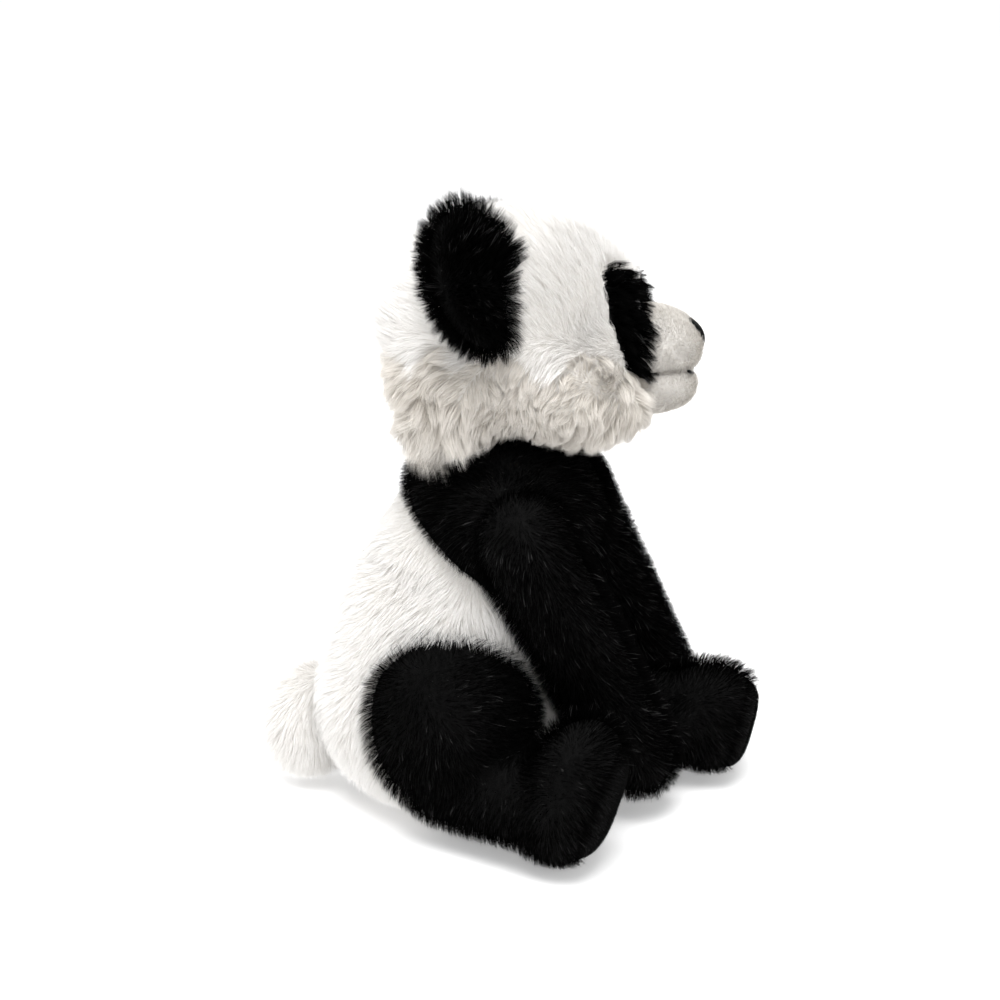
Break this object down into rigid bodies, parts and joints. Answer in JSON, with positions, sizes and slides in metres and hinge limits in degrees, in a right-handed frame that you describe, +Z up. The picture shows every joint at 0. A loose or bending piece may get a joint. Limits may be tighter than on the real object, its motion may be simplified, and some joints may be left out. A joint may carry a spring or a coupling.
{
  "type": "plush panda",
  "caption": "Seated stuffed panda in long black and white pile, with a turning head, floppy ears and tail, and limbs that lift at their seams.",
  "frame": {"origin": "on the flat underside of the torso, below the neck, on the surface the toy sits on", "axes": "+Z up; the panda faces -Y; its right side is at -X"},
  "size_m": [0.2334, 0.2357, 0.3014],
  "materials": {
    "white_pile": "long-pile plush, off-white",
    "black_pile": "long-pile plush, black",
    "short_white_pile": "short-pile plush, off-white",
    "short_black_pile": "short-pile plush, black",
    "fibre_filling": "loose polyester fibre",
    "pellet_sack": "woven sack of plastic pellets",
    "black_thread": "satin-stitch embroidery thread",
    "eye_plastic": "polished black",
    "washer_plastic": "moulded white"
  },
  "bodies": {
    "torso": {"torso_cover": "white_pile", "shoulder_yoke": "black_pile", "torso_stuffing": "fibre_filling", "seat_pellet_sack": "pellet_sack"},
    "tail": {"tail_cover": "white_pile", "tail_stuffing": "fibre_filling"},
    "head": {"head_cover": "white_pile", "head_stuffing": "fibre_filling", "muzzle_cover": "short_white_pile", "jaw_cover": "short_white_pile", "muzzle_stuffing": "fibre_filling", "mouth_stitch": "black_thread", "nose": "black_thread", "eye_patch_right": "black_pile", "eye_right": "eye_plastic", "eye_washer_right": "washer_plastic", "eye_patch_left": "black_pile", "eye_left": "eye_plastic", "eye_washer_left": "washer_plastic"},
    "ear_right": {"ear_right_front": "black_pile", "ear_right_back": "black_pile"},
    "arm_right": {"arm_right_cover": "black_pile", "arm_right_stuffing": "fibre_filling"},
    "leg_right": {"leg_right_cover": "black_pile", "leg_right_stuffing": "fibre_filling", "sole_right": "short_black_pile"},
    "ear_left": {"ear_left_front": "black_pile", "ear_left_back": "black_pile"},
    "arm_left": {"arm_left_cover": "black_pile", "arm_left_stuffing": "fibre_filling"},
    "leg_left": {"leg_left_cover": "black_pile", "leg_left_stuffing": "fibre_filling", "sole_left": "short_black_pile"}
  },
  "joints": [
    {"name": "neck_turn", "type": "hinge", "parent": "torso", "child": "head", "pos_m": [0, -0.018, 0.186], "axis": [0, 0, 1], "range_deg": [-40, 20], "stiffness_Nm_per_rad": 0.25},
    {"name": "arm_right_lift", "type": "hinge", "parent": "torso", "child": "arm_right", "pos_m": [-0.043, -0.03, 0.152], "axis": [-1, 0, 0], "range_deg": [0, 55], "stiffness_Nm_per_rad": 0.15},
    {"name": "arm_left_lift", "type": "hinge", "parent": "torso", "child": "arm_left", "pos_m": [0.045, -0.027, 0.152], "axis": [-1, 0, 0], "range_deg": [0, 55], "stiffness_Nm_per_rad": 0.15},
    {"name": "leg_right_lift", "type": "hinge", "parent": "torso", "child": "leg_right", "pos_m": [-0.039, 0.001, 0.059], "axis": [-1, 0, 0], "range_deg": [0, 12], "stiffness_Nm_per_rad": 0.3},
    {"name": "leg_left_lift", "type": "hinge", "parent": "torso", "child": "leg_left", "pos_m": [0.045, -0.018, 0.043], "axis": [-1, 0, 0], "range_deg": [0, 15], "stiffness_Nm_per_rad": 0.3},
    {"name": "ear_right_flop", "type": "hinge", "parent": "head", "child": "ear_right", "pos_m": [-0.0523, -0.0182, 0.267], "axis": [0.5041, 0.128, 0.8541], "range_deg": [-12, 12], "stiffness_Nm_per_rad": 0.03},
    {"name": "ear_left_flop", "type": "hinge", "parent": "head", "child": "ear_left", "pos_m": [0.0545, 0.0045, 0.2477], "axis": [-0.197, -0.021, 0.9802], "range_deg": [-12, 12], "stiffness_Nm_per_rad": 0.03},
    {"name": "tail_lift", "type": "hinge", "parent": "torso", "child": "tail", "pos_m": [0, 0.074, 0.062], "axis": [1, 0, 0], "range_deg": [0, 22], "stiffness_Nm_per_rad": 0.05}
  ]
}
